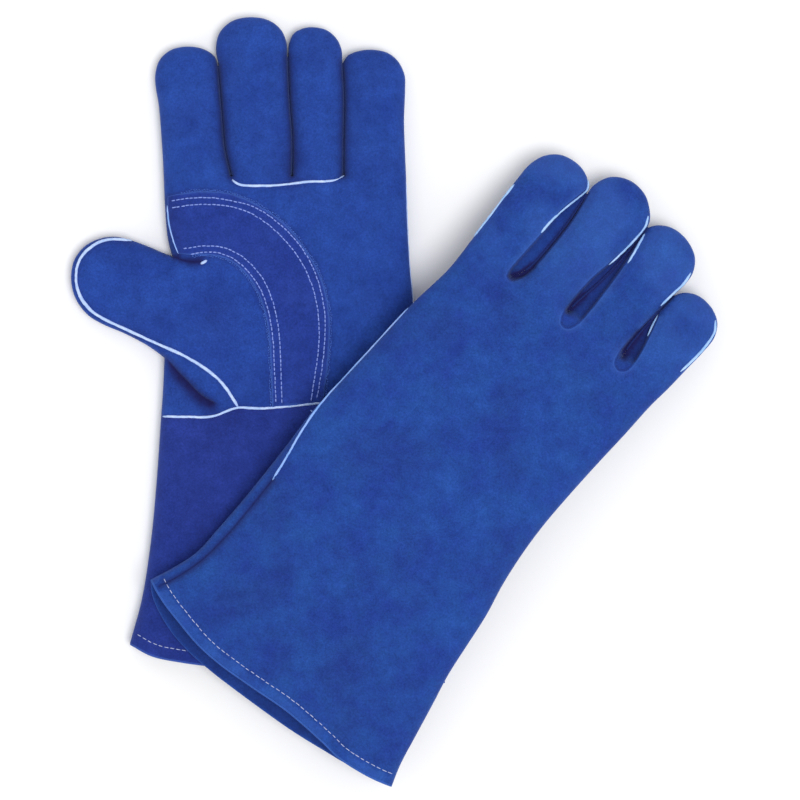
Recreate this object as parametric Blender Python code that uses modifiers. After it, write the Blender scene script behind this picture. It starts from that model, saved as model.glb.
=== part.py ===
"""A pair of leather welding gloves, lying one over the other as a Blender model.

The left glove lies palm up on the ground (z = 0). The right glove lies back up, with its cuff
and palm across the left one, its fingers sloping down to the ground, and its thumb folded
under its palm. Each glove is an assembly of cut leather panels, white welts set in the seams,
sewing threads and a sock lining. Fingers and thumbs are hinged where they leave the hand.

Every glove is drawn flat in its own frame, in metres: x across it from the thumb side to the
little finger side, y from the wrist seam towards the fingertips, and h up from the plane in
which the panels are sewn together. GLOVES places those frames.
"""

import math
from dataclasses import dataclass

import bmesh
import bpy
from mathutils import Vector

MM = 0.001

# Leather and seams.
LEATHER = 1.6 * MM
STRAP_LEATHER = 1.3 * MM
STRAP_OFF = 0.8 * MM  # how far the strap lies off the palm
LINING = 1.0 * MM
LINING_DEPTH = 2.6 * MM  # from a panel's outside to the outside of the lining
WELT_RADIUS = 0.5 * MM
THREAD_RADIUS = 0.4 * MM
CLEARANCE = 0.35 * MM  # between two pieces that touch on the real glove
SEAM_SLOT = WELT_RADIUS + CLEARANCE  # from the middle of a seam to the edge of a panel

# Heights above and below the plane of the side seams.
CROWN = 11.5 * MM  # the rounded upper side
BELLY = 8.5 * MM  # the flattened lower side
BELLY_ROUND = 9.5 * MM  # the lower side's own half axis, cut flat at BELLY
SEAM_HEIGHT = BELLY  # so that the left glove's lower side lies on the ground
HEM_LIFT = 1.3 * MM  # the turned hem holds the cuff's edge off the ground
HEM_SEAM = 7.5 * MM  # from the cuff's edge to the row of stitches
HEM_BAND = 14 * MM  # from the cuff's edge to where that lift has faded out

# How far in from a side seam the hand's surface is still rounding off.
UPPER_ROUNDING = 24 * MM
LOWER_ROUNDING = 15 * MM

# Angles on a finger's cross-section, in degrees: 0 at its widest, 90 at the middle of the palm
# side and -90 at the middle of the back.
BACK_SEAM = -30
FRONT_SEAM = 30
WELT_SLOT = 6  # half the slot that holds a welt
BUTT_SLOT = 2  # half the slot between two edges sewn without a welt

# Grid fineness.
SIDE_STEPS = 3  # along each straight side of a finger
CAP_STEPS = 6  # round a fingertip
CROWN_STEPS = 3  # from a finger's seam to its middle line
ROUNDING_TURNS = (0.22, 0.58, 1)  # over the rounding at each side of the hand
FLAT_STEPS = 4  # over the flat middle of the hand

HINGE_GAP = 0.5 * MM  # from the hinge line to the hand's panels, and to a finger
ROOT_SEAM = 3 * MM  # from the hinge line of the fingers to the welt across the palm
THUMB_DROP = 3.8 * MM  # from the right palm down to the thumb folded under it


@dataclass
class Finger:
    name: str
    base: tuple  # middle of the finger where it leaves the hand
    tip: tuple
    half_width: float
    wraps: int = 0  # the side that the palm leather wraps round: -1 thumb side, 1 little finger side


@dataclass
class Thumb:
    near_side: tuple  # points along the edge nearer the wrist, from the hand outwards
    far_side: tuple  # points along the edge nearer the fingers
    cap: float  # length of the rounded end
    crown: float
    belly: float


@dataclass
class Glove:
    name: str
    palm: int  # 1 if the palm side faces up, -1 if it faces down
    origin: tuple
    turn: float  # degrees clockwise, seen from above
    thumb_edge: tuple  # (y, x) points of the side seam on the thumb side
    little_edge: tuple  # (y, x) points of the side seam on the little finger side
    hem: tuple  # (x, y) points of the cuff's edge
    root: float  # y of the line where the fingers leave the hand
    fingers: tuple
    thumb: Thumb
    strap_shift: float  # x shift of the thumb strap


def mm(*points):
    """The points, given in millimetres, in metres."""
    return tuple(tuple(value * MM for value in point) for point in points)


LEFT = Glove(
    name="left",
    palm=1,
    origin=(-59.8 * MM, -4.5 * MM),
    turn=0,
    thumb_edge=mm((-136, -86), (-106, -80), (-73, -75), (-39, -71.5), (-4, -69), (14, -68),
                  (28, -66.5), (56, -63), (84, -60.5), (100, -64), (131, -67)),
    little_edge=mm((-152, 88), (-106, 81), (-73, 76), (-39, 72.5), (0, 70), (40, 70.5),
                   (62, 70), (95, 67.5), (131, 66)),
    hem=mm((-90, -131), (-76, -138), (-44, -144), (0, -148), (50, -151), (95, -151)),
    root=131 * MM,
    fingers=(
        Finger("index", (-50.5 * MM, 131 * MM), (-56 * MM, 203 * MM), 16 * MM, -1),
        Finger("middle", (-15 * MM, 131 * MM), (-20 * MM, 220 * MM), 16.4 * MM),
        Finger("ring", (16.4 * MM, 131 * MM), (15.6 * MM, 214 * MM), 13.8 * MM),
        Finger("little", (48.6 * MM, 131 * MM), (49 * MM, 202 * MM), 16.4 * MM, 1),
    ),
    thumb=Thumb(
        near_side=mm((-69, 31), (-76, 36), (-91, 44), (-107, 51.5)),
        far_side=mm((-63.5, 84.5), (-70, 87.5), (-79, 91.5), (-89, 93)),
        cap=22 * MM,
        crown=CROWN,
        belly=BELLY,
    ),
    strap_shift=0,
)

RIGHT = Glove(
    name="right",
    palm=-1,
    origin=(5.7 * MM, -38.1 * MM),
    turn=38.5,
    thumb_edge=mm((-137, -72.5), (-108, -62), (-90, -60.7), (-53, -59.8), (-17, -60),
                  (7, -59), (32, -57), (79, -53.5), (103, -50.5), (120, -50.5)),
    little_edge=mm((-142, 106), (-112, 97.6), (-75, 90.7), (-35, 86.5), (3, 81), (25, 80),
                   (47, 81), (92, 84.2), (120, 87)),
    hem=mm((-75, -137), (-47, -145), (-14, -149.5), (33, -148), (71, -147.5), (108, -142)),
    root=120 * MM,
    fingers=(
        Finger("index", (-36 * MM, 120 * MM), (-35.3 * MM, 194 * MM), 15 * MM, -1),
        Finger("middle", (-0.5 * MM, 120 * MM), (1.6 * MM, 206 * MM), 17.5 * MM),
        Finger("ring", (38.8 * MM, 120 * MM), (40.8 * MM, 200 * MM), 16.2 * MM),
        Finger("little", (72.8 * MM, 120 * MM), (73.8 * MM, 179 * MM), 14.6 * MM, 1),
    ),
    thumb=Thumb(
        near_side=mm((-13, 15), (-11, 40), (-10, 65), (-10, 85)),
        far_side=mm((-51, 15), (-49, 40), (-47.5, 65), (-47, 85)),
        cap=19 * MM,
        crown=5.5 * MM,
        belly=5 * MM,
    ),
    strap_shift=17 * MM,
)

GLOVES = (LEFT, RIGHT)

# How high the right glove's lower side lies: over the left glove's cuff, and over its palm with
# the folded thumb between them, where it slopes down towards the little finger and the tips.
OVER_CUFF = 22.5 * MM
OVER_THUMB = 38.5 * MM
SLOPE_ACROSS = 0.06
SLOPE_ALONG = 0.05
FINGER_DROOP = 0.62  # the share of that height which the fingers lose towards their tips

# The thumb strap, in the left glove's frame: it rounds the thumb's crotch as a band.
STRAP_OUTER = mm((-55, 119), (-40, 121.5), (-24, 118.5), (-9, 109.5), (4, 96), (14.5, 80),
                 (21.5, 61), (23, 42), (21.5, 22), (19, 5))
STRAP_INNER = mm((-49, 92), (-40, 92), (-30, 89), (-22, 83.5), (-15, 76), (-9.5, 63),
                 (-7, 49), (-6.5, 35), (-6, 20), (-5.5, 5))
STRAP_SEAM = 0.16  # of the band's width, from each edge to the stitches
HAND_ROWS = (5 * MM, 14 * MM, 26 * MM, 42 * MM, 62 * MM, 84 * MM, 100 * MM, 115 * MM)
CUFF_SHARES = (0.3, 0.6, 0.82)  # from the hem to the wrist seam


def smooth(low, high, value):
    """0 up to low, 1 from high on, and an S-curve between them."""
    t = min(max((value - low) / (high - low), 0), 1)
    return t * t * (3 - 2 * t)


def on_curve(points, at):
    """The second value of the smooth curve through points, at a first value."""
    if at <= points[0][0]:
        return points[0][1]
    for i, ((a, start), (b, end)) in enumerate(zip(points, points[1:])):
        if at <= b:
            before = points[max(i - 1, 0)]
            after = points[min(i + 2, len(points) - 1)]
            t = (at - a) / (b - a)
            slope_a = (end - before[1]) / (b - before[0]) * (b - a)
            slope_b = (after[1] - start) / (after[0] - a) * (b - a)
            return ((2 * t**3 - 3 * t**2 + 1) * start + (t**3 - 2 * t**2 + t) * slope_a
                    + (3 * t**2 - 2 * t**3) * end + (t**3 - t**2) * slope_b)
    return points[-1][1]


def along(points, share):
    """The place at a share of a polyline's length."""
    places = [Vector(p) for p in points]
    lengths = [(b - a).length for a, b in zip(places, places[1:])]
    left = share * sum(lengths)
    for a, b, length in zip(places, places[1:], lengths):
        if left <= length:
            return a.lerp(b, left / length)
        left -= length
    return places[-1]


def lie(glove, x, y):
    """How high the glove's lower side lies at this place."""
    if glove.palm > 0:
        return 0
    palm = OVER_THUMB - SLOPE_ACROSS * (x + 50 * MM) - SLOPE_ALONG * y
    over_hand = OVER_CUFF + (palm - OVER_CUFF) * smooth(-80 * MM, 5 * MM, y)
    return over_hand * (1 - FINGER_DROOP * smooth(106 * MM, 206 * MM, y))


def lift_of_hem(glove, x, y):
    """How far the turned hem holds the cuff's lower side up, as a share of its depth."""
    from_hem = y - on_curve(glove.hem, x)
    return HEM_LIFT / BELLY * (1 - smooth(HEM_SEAM, HEM_BAND, from_hem))


def placed(glove, x, y, h):
    """A place in the glove's frame as a point of the model."""
    turn = math.radians(glove.turn)
    across = Vector((math.cos(turn), -math.sin(turn)))
    ahead = Vector((math.sin(turn), math.cos(turn)))
    flat = Vector(glove.origin) + across * x + ahead * y
    return Vector((flat.x, flat.y, SEAM_HEIGHT + h + lie(glove, x, y)))


def collection(name):
    made = bpy.data.collections.new(name)
    bpy.context.scene.collection.children.link(made)
    return made


def material(name, colour, roughness):
    made = bpy.data.materials.new(name)
    made.use_nodes = True
    shader = made.node_tree.nodes["Principled BSDF"]
    shader.inputs["Base Color"].default_value = (*colour, 1)
    shader.inputs["Roughness"].default_value = roughness
    shader.inputs["Metallic"].default_value = 0
    return made


def numbered_grid(columns, rows):
    """A flat grid, and a function that tells the column and the row of one of its points."""
    shape = bmesh.new()
    bmesh.ops.create_grid(shape, x_segments=columns, y_segments=rows, size=1)

    def number(point):
        return round((point.co.x + 1) / 2 * columns), round((point.co.y + 1) / 2 * rows)

    return shape, number


def add_mesh(name, shape, finish):
    mesh = bpy.data.meshes.new(name)
    shape.to_mesh(mesh)
    shape.free()
    made = bpy.data.objects.new(name, mesh)
    PARTS.objects.link(made)
    mesh.materials.append(finish)
    return made


def panel(name, columns, rows, place, thickness, finish, folded=False):
    """A sheet of leather: place(column, row, depth) is a point at that depth in the leather.

    In a folded sheet, both halves of the last row are the same line, and are joined there.
    """
    shape, number = numbered_grid(columns, rows)
    copied = bmesh.ops.extrude_face_region(shape, geom=shape.faces[:], use_keep_orig=True)
    inner = {item for item in copied["geom"] if isinstance(item, bmesh.types.BMVert)}
    numbers = {point: number(point) for point in shape.verts}
    if folded:
        rim = [face for face in shape.faces
               if all(numbers[point][1] == rows for point in face.verts)]
        bmesh.ops.delete(shape, geom=rim, context="FACES_ONLY")
    for point, spot in numbers.items():
        point.co = place(*spot, thickness if point in inner else 0)
    if folded:
        bmesh.ops.remove_doubles(shape, verts=shape.verts, dist=0.02 * MM)
    bmesh.ops.recalc_face_normals(shape, faces=shape.faces)
    if shape.calc_volume(signed=True) < 0:
        bmesh.ops.reverse_faces(shape, faces=shape.faces)
    return add_mesh(name, shape, finish)


def tube(name, columns, rows, place, thickness, finish):
    """A tube of cloth, whose last column of points is its first one again."""
    shape, number = numbered_grid(columns, rows)
    for point in shape.verts:
        point.co = place(*number(point))
    bmesh.ops.remove_doubles(shape, verts=shape.verts, dist=0.05 * MM)
    made = add_mesh(name, shape, finish)
    cloth = made.modifiers.new("Cloth", "SOLIDIFY")
    cloth.thickness = thickness
    cloth.offset = -1
    return made


def cord(name, points, radius, finish, closed=False):
    """A round cord through the points: a welt or a sewing thread."""
    curve = bpy.data.curves.new(name, "CURVE")
    curve.dimensions = "3D"
    curve.bevel_depth = radius
    curve.bevel_resolution = 0
    curve.use_fill_caps = not closed
    line = curve.splines.new("POLY")
    line.points.add(len(points) - 1)
    line.use_cyclic_u = closed
    for point, place in zip(line.points, points):
        point.co = (*place, 1)
    made = bpy.data.objects.new(name, curve)
    PARTS.objects.link(made)
    curve.materials.append(finish)
    return made


# The hand and the cuff.


def rounding(up):
    return UPPER_ROUNDING if up > 0 else LOWER_ROUNDING


def slot_angle(up):
    """The angle at which a panel of the hand stops short of the side seam."""
    return math.degrees(math.asin(SEAM_SLOT / (CROWN if up > 0 else BELLY_ROUND)))


def hand_columns(slot):
    """Places across the hand: (share of the flat width, angle of the rounding)."""
    turned = [slot] + [slot + (90 - slot) * turn for turn in ROUNDING_TURNS]
    middle = [(i / FLAT_STEPS, 90) for i in range(1, FLAT_STEPS)]
    return [(0, angle) for angle in turned] + middle + [(1, angle) for angle in reversed(turned)]


def hand_place(glove, line, column, up, depth=0):
    """A point of the hand's upper or lower side, in the glove's frame.

    line gives the y of a line across the hand for each x on it.
    """
    share, angle = column
    turned = math.radians(angle)
    y = line(0)
    for _ in range(3):  # the edges' x depend on y, and a hem's y on x
        left = on_curve(glove.thumb_edge, y) + depth
        right = on_curve(glove.little_edge, y) - depth
        reach = rounding(up) - depth
        if share == 0:
            x = left + reach * (1 - math.cos(turned))
        elif share == 1:
            x = right - reach * (1 - math.cos(turned))
        else:
            x = left + reach + (right - left - 2 * reach) * share
        y = line(x)
    if up > 0:
        return x, y, (CROWN - depth) * math.sin(turned)
    h = min((BELLY_ROUND - depth) * math.sin(turned), BELLY - depth)
    return x, y, -h * (1 - lift_of_hem(glove, x, y))


def level(y):
    return lambda x: y


def cuff_lines(glove):
    """Lines across the cuff, from the hem to near the wrist seam."""
    lines = [lambda x, up=up: on_curve(glove.hem, x) + up for up in (0, HEM_SEAM, HEM_BAND)]
    lines += [lambda x, share=share: on_curve(glove.hem, x) * (1 - share)
              for share in CUFF_SHARES]
    return lines


def hand_lines(glove):
    return [level(row) for row in HAND_ROWS] + [level(glove.root - HINGE_GAP)]


def hand_panel(glove, name, lines, up, finish):
    """A leather panel over one side of the hand, through lines that run across it."""
    columns = hand_columns(slot_angle(up))

    def place(column, row, depth):
        return placed(glove, *hand_place(glove, lines[row], columns[column], up, depth))

    panel(f"{glove.name}_{name}", len(columns) - 1, len(lines) - 1, place, LEATHER, finish)


def hand(glove, leather, strap_leather, welt, thread, fleece):
    """The panels, the lining and the seams that stay with the hand."""
    palm, back = glove.palm, -glove.palm
    cuff, upper = cuff_lines(glove), hand_lines(glove)
    hand_panel(glove, "palm_panel", [level(SEAM_SLOT)] + upper, palm, leather)
    hand_panel(glove, "cuff_panel", cuff + [level(-SEAM_SLOT)], palm, leather)
    hand_panel(glove, "back_panel", cuff + [level(0)] + upper, back, leather)
    lining(glove, cuff[1:] + [level(0)] + upper[:-1], fleece)
    strap(glove, strap_leather, thread)
    hem_stitching(glove, thread)
    side_lines = cuff[-2:] + [level(0)] + upper[:-1]
    for side, edge in (("thumb", glove.thumb_edge), ("little", glove.little_edge)):
        points = [placed(glove, on_curve(edge, line(x)), line(x), 0)
                  for line in side_lines for x in (on_curve(edge, line(0)),)]
        cord(f"{glove.name}_{side}_side_welt", points, WELT_RADIUS, welt)
    wrist = [placed(glove, *hand_place(glove, level(0), column, palm))
             for column in hand_columns(2 * slot_angle(palm))]
    cord(f"{glove.name}_wrist_welt", wrist, WELT_RADIUS, welt)
    root_welt(glove, welt)


def root_welt(glove, finish):
    """The welt across the palm side, below the middle and the ring finger."""
    flat = hand_columns(0)[len(ROUNDING_TURNS):-len(ROUNDING_TURNS)]
    line = level(glove.root - ROOT_SEAM)
    spots = [placed(glove, *hand_place(glove, line, column, glove.palm)) for column in flat]
    spots[0] = (spots[0] + spots[1]) / 2
    spots[-1] = (spots[-1] + spots[-2]) / 2
    off = Vector((0, 0, glove.palm * SEAM_SLOT))
    cord(f"{glove.name}_finger_root_welt", [spot + off for spot in spots], WELT_RADIUS, finish)


def hem_stitching(glove, finish):
    """The thread that goes all round the cuff, a little way up from its edge."""
    outside = -(THREAD_RADIUS + CLEARANCE)
    line = cuff_lines(glove)[1]
    ring = []
    for up in (1, -1):
        columns = hand_columns(slot_angle(up))[::up]
        ring += [placed(glove, *hand_place(glove, line, column, up, outside))
                 for column in columns]
    cord(f"{glove.name}_hem_stitching", ring, THREAD_RADIUS, finish, closed=True)


def lining(glove, lines, finish):
    """The sock lining, one tube of fleece from the hem to the finger roots."""
    columns = hand_columns(0)
    ring = [(column, 1) for column in columns] + [(column, -1) for column in columns[-2::-1]]

    def place(column, row):
        spot, up = ring[column]
        return placed(glove, *hand_place(glove, lines[row], spot, up, LINING_DEPTH))

    tube(f"{glove.name}_lining", len(ring) - 1, len(lines) - 1, place, LINING, finish)


def strap(glove, leather, thread):
    """The leather band sewn round the thumb's crotch, and the thread that holds it."""
    def on_this_palm(points):
        return [Vector((x + glove.strap_shift, y * glove.root / LEFT.root)) for x, y in points]

    outer, inner = on_this_palm(STRAP_OUTER), on_this_palm(STRAP_INNER)

    def on_palm(spot, off):
        """The place over a spot of the palm, at a height off its leather."""
        reach = rounding(glove.palm)
        left = on_curve(glove.thumb_edge, spot.y)
        short = 1 - min((spot.x - left) / reach, 1)
        rise = math.sqrt(max(1 - short * short, 0))
        high = CROWN * rise if glove.palm > 0 else min(BELLY_ROUND * rise, BELLY)
        return placed(glove, spot.x, spot.y, glove.palm * (high + off))

    def place(column, row, depth):
        spot = inner[column].lerp(outer[column], row / 2)
        return on_palm(spot, STRAP_OFF + STRAP_LEATHER - depth)

    panel(f"{glove.name}_thumb_strap", len(outer) - 1, 2, place, STRAP_LEATHER, leather)
    off = STRAP_OFF + STRAP_LEATHER + CLEARANCE + THREAD_RADIUS
    there = [on_palm(a.lerp(b, STRAP_SEAM), off) for a, b in zip(inner[1:-1], outer[1:-1])]
    back = [on_palm(b.lerp(a, STRAP_SEAM), off) for a, b in zip(inner[1:-1], outer[1:-1])]
    cord(f"{glove.name}_strap_stitching", there + back[::-1], THREAD_RADIUS, thread, closed=True)


# The fingers and the thumb, as capsules that lie flat.


@dataclass
class Capsule:
    """A finger's outline: the middle and the half-width vector at stations all round it."""

    stations: list
    crown: float
    belly: float
    drop: float


def finger_capsule(finger):
    base, tip = Vector(finger.base), Vector(finger.tip)
    ahead = (tip - base).normalized()
    out = Vector((finger.half_width, 0))
    end = (tip - base).length - finger.half_width
    middles = [base + ahead * (HINGE_GAP + (end - HINGE_GAP) * i / SIDE_STEPS)
               for i in range(SIDE_STEPS + 1)]
    stations = [(middle, -out) for middle in middles]
    for i in range(1, CAP_STEPS):
        turned = math.pi * i / CAP_STEPS
        stations.append((middles[-1], ahead * finger.half_width * math.sin(turned)
                         - out * math.cos(turned)))
    stations += [(middle, out) for middle in reversed(middles)]
    return Capsule(stations, CROWN, BELLY, 0)


def thumb_capsule(glove):
    thumb = glove.thumb
    sides = []
    for i in range(SIDE_STEPS + 1):
        near = along(thumb.near_side, i / SIDE_STEPS)
        far = along(thumb.far_side, i / SIDE_STEPS)
        sides.append(((near + far) / 2, (far - near) / 2))
    middle, out = sides[-1]
    ahead = (middle - sides[0][0]).normalized() * thumb.cap
    stations = list(sides)
    for i in range(1, CAP_STEPS):
        turned = math.pi * i / CAP_STEPS
        stations.append((middle, out * math.cos(turned) + ahead * math.sin(turned)))
    stations += [(middle, -out) for middle, out in reversed(sides)]
    drop = BELLY + THUMB_DROP + thumb.crown if glove.palm < 0 else 0
    return Capsule(stations, thumb.crown, thumb.belly, drop)


def capsule_place(glove, capsule, station, angle, depth=0):
    """A point of a finger: at a station of its outline, turned by angle to the palm side."""
    middle, out = capsule.stations[station]
    turned = math.radians(angle)
    flat = middle + out * (1 - depth / out.length) * math.cos(turned)
    up = math.sin(turned) * glove.palm
    if up > 0:
        h = (capsule.crown - depth) * up
    else:
        belly = capsule.belly * BELLY_ROUND / BELLY - depth
        h = max(belly * up, -(capsule.belly - depth))
    return placed(glove, flat.x, flat.y, h - capsule.drop)


def capsule_panel(glove, name, capsule, stations, angles, finish):
    """A panel of a finger; angles(station) gives its first and its last angle there."""
    folded = abs(angles(stations[0])[1]) == 90
    steps = CROWN_STEPS if folded else 2

    def place(column, row, depth):
        low, high = angles(stations[column])
        angle = low + (high - low) * row / steps
        return capsule_place(glove, capsule, stations[column], angle, depth)

    panel(f"{glove.name}_{name}", len(stations) - 1, steps, place, LEATHER, finish, folded)


def finger_panels(glove, finger, leather, welt):
    capsule = finger_capsule(finger)
    everywhere = range(len(capsule.stations))
    tip = len(capsule.stations) // 2

    def front(station):
        """The front's edge; where the palm leather wraps round, it reaches the back's seam."""
        side = 1 if station > tip else -1
        reaches_back = finger.wraps == side
        return (BACK_SEAM + WELT_SLOT if reaches_back else FRONT_SEAM + BUTT_SLOT), 90

    def back(station):
        return BACK_SEAM - WELT_SLOT, -90

    def fourchette(station):
        return BACK_SEAM + WELT_SLOT, FRONT_SEAM - BUTT_SLOT

    between = {-1: everywhere[tip + 2:], 0: everywhere, 1: everywhere[:tip]}[finger.wraps]
    capsule_panel(glove, f"{finger.name}_front", capsule, everywhere, front, leather)
    capsule_panel(glove, f"{finger.name}_back", capsule, everywhere, back, leather)
    capsule_panel(glove, f"{finger.name}_fourchette", capsule, between, fourchette, leather)
    line = [capsule_place(glove, capsule, station, BACK_SEAM) for station in everywhere]
    cord(f"{glove.name}_{finger.name}_welt", line, WELT_RADIUS, welt)


def thumb_panels(glove, leather, welt):
    capsule = thumb_capsule(glove)
    everywhere = range(len(capsule.stations))
    slot = math.degrees(math.asin(SEAM_SLOT / min(capsule.crown, capsule.belly)))
    capsule_panel(glove, "thumb_front", capsule, everywhere, lambda s: (slot, 90), leather)
    capsule_panel(glove, "thumb_back", capsule, everywhere, lambda s: (-slot, -90), leather)
    line = [capsule_place(glove, capsule, station, 0) for station in everywhere]
    cord(f"{glove.name}_thumb_welt", line, WELT_RADIUS, welt)


for leftover in list(bpy.data.objects):
    bpy.data.objects.remove(leftover)

PARTS = collection("welding_gloves")
SUEDE = material("blue split leather", (0.022, 0.075, 0.33), 0.9)
STRAP_SUEDE = material("blue reinforcing leather", (0.02, 0.066, 0.3), 0.9)
WELTING = material("white welt leather", (0.72, 0.84, 0.93), 0.6)
THREAD = material("pale sewing thread", (0.55, 0.63, 0.8), 0.7)
FLEECE = material("cotton fleece lining", (0.72, 0.7, 0.64), 0.95)

for one in GLOVES:
    hand(one, SUEDE, STRAP_SUEDE, WELTING, THREAD, FLEECE)
    for digit in one.fingers:
        finger_panels(one, digit, SUEDE, WELTING)
    thumb_panels(one, SUEDE, WELTING)
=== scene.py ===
"""The looks of a pair of suede welding gloves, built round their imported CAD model.

Each glove is drawn flat in its own frame, in millimetres: x across it from the thumb side to
the little finger side, y from the wrist seam to the fingertips, and h up from the plane of the
side seams. Its leather is one fine triangle mesh over its outline, blown up like a balloon and
cut into panels along the seams. Welts and stitches are laid on that surface.
"""

import math

import bpy
import numpy as np
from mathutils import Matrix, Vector, geometry, kdtree
from mathutils.bvhtree import BVHTree

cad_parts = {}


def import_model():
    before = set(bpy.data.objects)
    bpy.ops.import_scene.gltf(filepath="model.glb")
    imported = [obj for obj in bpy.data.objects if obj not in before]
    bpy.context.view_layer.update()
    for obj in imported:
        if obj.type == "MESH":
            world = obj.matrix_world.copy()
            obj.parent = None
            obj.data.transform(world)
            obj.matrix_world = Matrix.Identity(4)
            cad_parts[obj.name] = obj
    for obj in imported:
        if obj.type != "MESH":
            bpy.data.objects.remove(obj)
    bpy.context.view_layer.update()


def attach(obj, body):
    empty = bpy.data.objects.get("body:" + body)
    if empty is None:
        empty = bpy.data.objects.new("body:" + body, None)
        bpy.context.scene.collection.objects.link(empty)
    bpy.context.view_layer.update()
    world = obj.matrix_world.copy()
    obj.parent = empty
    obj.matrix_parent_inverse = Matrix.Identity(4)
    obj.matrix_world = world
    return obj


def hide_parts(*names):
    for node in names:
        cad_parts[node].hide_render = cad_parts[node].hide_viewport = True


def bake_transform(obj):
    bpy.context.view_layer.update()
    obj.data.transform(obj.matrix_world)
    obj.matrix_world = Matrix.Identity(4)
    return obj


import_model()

MM = 0.001

# Heights of the leather over and under the plane of the side seams, as in the CAD model.
CROWN = 11.5
BELLY = 8.5
SEAM_HEIGHT = 8.5
OVER_CUFF = 22.5
OVER_THUMB = 38.5
SLOPE_ACROSS = 0.06
SLOPE_ALONG = 0.05
FINGER_DROOP = 0.62

SPACING = 1.75  # of the mesh's points
STEP = 1.3  # between the points of an outline or a seam
SWELL = 13.0  # how far from its edge the leather has risen to its full height


# Numbers and curves.


def smooth(low, high, value):
    t = np.clip((value - low) / (high - low), 0, 1)
    return t * t * (3 - 2 * t)


def curve(points, step=STEP):
    """Evenly spaced points on the smooth curve through points."""
    p = np.array(points, float)
    p = np.vstack([2 * p[0] - p[1], p, 2 * p[-1] - p[-2]])
    fine = []
    t = np.linspace(0, 1, 24, endpoint=False)[:, None]
    for a, b, c, d in zip(p, p[1:], p[2:], p[3:]):
        la, lb, lc = (max(np.linalg.norm(v), 1e-6) ** 0.5 for v in (b - a, c - b, d - c))
        start = ((b - a) / la - (c - a) / (la + lb) + (c - b) / lb) * lb
        end = ((c - b) / lb - (d - b) / (lb + lc) + (d - c) / lc) * lb
        fine.append(b * (2 * t**3 - 3 * t**2 + 1) + start * (t**3 - 2 * t**2 + t)
                    + c * (3 * t**2 - 2 * t**3) + end * (t**3 - t**2))
    fine = np.vstack(fine + [p[-2:-1]])
    return respaced(fine, step)


def lengths_along(points):
    return np.concatenate([[0], np.cumsum(np.linalg.norm(np.diff(points, axis=0), axis=1))])


def respaced(points, step):
    run = lengths_along(points)
    count = max(int(round(run[-1] / step)), 1)
    at = np.linspace(0, run[-1], count + 1)
    return np.stack([np.interp(at, run, points[:, k]) for k in range(points.shape[1])], 1)


def shifted(points, off):
    """A curve moved sideways, to its left for a positive off."""
    run = np.gradient(points, axis=0)
    run /= np.linalg.norm(run, axis=1)[:, None]
    return points + off * np.stack([-run[:, 1], run[:, 0]], 1)


def slit(points, half=0.06):
    """Both edges of a cut into the outline: down its left side and up its right side."""
    line = curve(points)
    taper = half * np.minimum(1, np.linspace(6, 0, len(line)))[:, None]
    down = line + (shifted(line, -1) - line) * taper
    up = line + (shifted(line, 1) - line) * taper
    return np.vstack([down, up[-2::-1]])


def inside(polygon, points):
    """For each point, whether it lies in the polygon."""
    x, y = points[:, 0], points[:, 1]
    found = np.zeros(len(points), bool)
    for (ax, ay), (bx, by) in zip(polygon, np.roll(polygon, -1, 0)):
        if ay == by:
            continue
        crosses = (ay > y) != (by > y)
        found ^= crosses & (x < (bx - ax) * (y - ay) / (by - ay) + ax)
    return found


def runs_inside(outline, line):
    """The stretches of a line that lie inside the outline."""
    good = inside(outline, line) & (distance(line, outline, True) > 0.3)
    ends = np.flatnonzero(np.diff(good.astype(int))) + 1
    stretches = zip(np.split(line, ends), np.split(good, ends))
    return [part for part, kept in stretches if kept[0] and len(part) > 2]


def distance(points, line, closed=False):
    """Each point's distance from a polyline."""
    line = np.asarray(line)
    ends = np.roll(line, -1, 0) if closed else line[1:]
    best = np.full(len(points), 1e9)
    for a, b in zip(line, ends):
        ab = b - a
        t = np.clip((points - a) @ ab / max(ab @ ab, 1e-12), 0, 1)
        best = np.minimum(best, np.sum((points - a - t[:, None] * ab) ** 2, 1))
    return np.sqrt(best)


def near(line, points, width):
    """1 on a line, and fading to 0 over about this width beside it."""
    return np.exp(-((distance(points, line) / width) ** 2))


def within(zone, points):
    """How far each place lies inside a closed line, and below 0 outside it."""
    away = distance(points, zone, True)
    return np.where(inside(zone, points), away, -away)


def waves(points, size, seed, count=26):
    """A smooth random field of waves about size long, from about -1 to 1."""
    draw = np.random.RandomState(seed)
    angle = draw.uniform(0, 2 * math.pi, count)
    pitch = 2 * math.pi / (size * draw.uniform(0.65, 1.7, count))
    phase = draw.uniform(0, 2 * math.pi, count)
    total = np.zeros(len(points))
    for a, k, f in zip(angle, pitch, phase):
        total += np.sin(k * (points[:, 0] * math.cos(a) + points[:, 1] * math.sin(a)) + f)
    return total * math.sqrt(2 / count) / 1.6


# The two gloves' outlines and seams.

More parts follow.
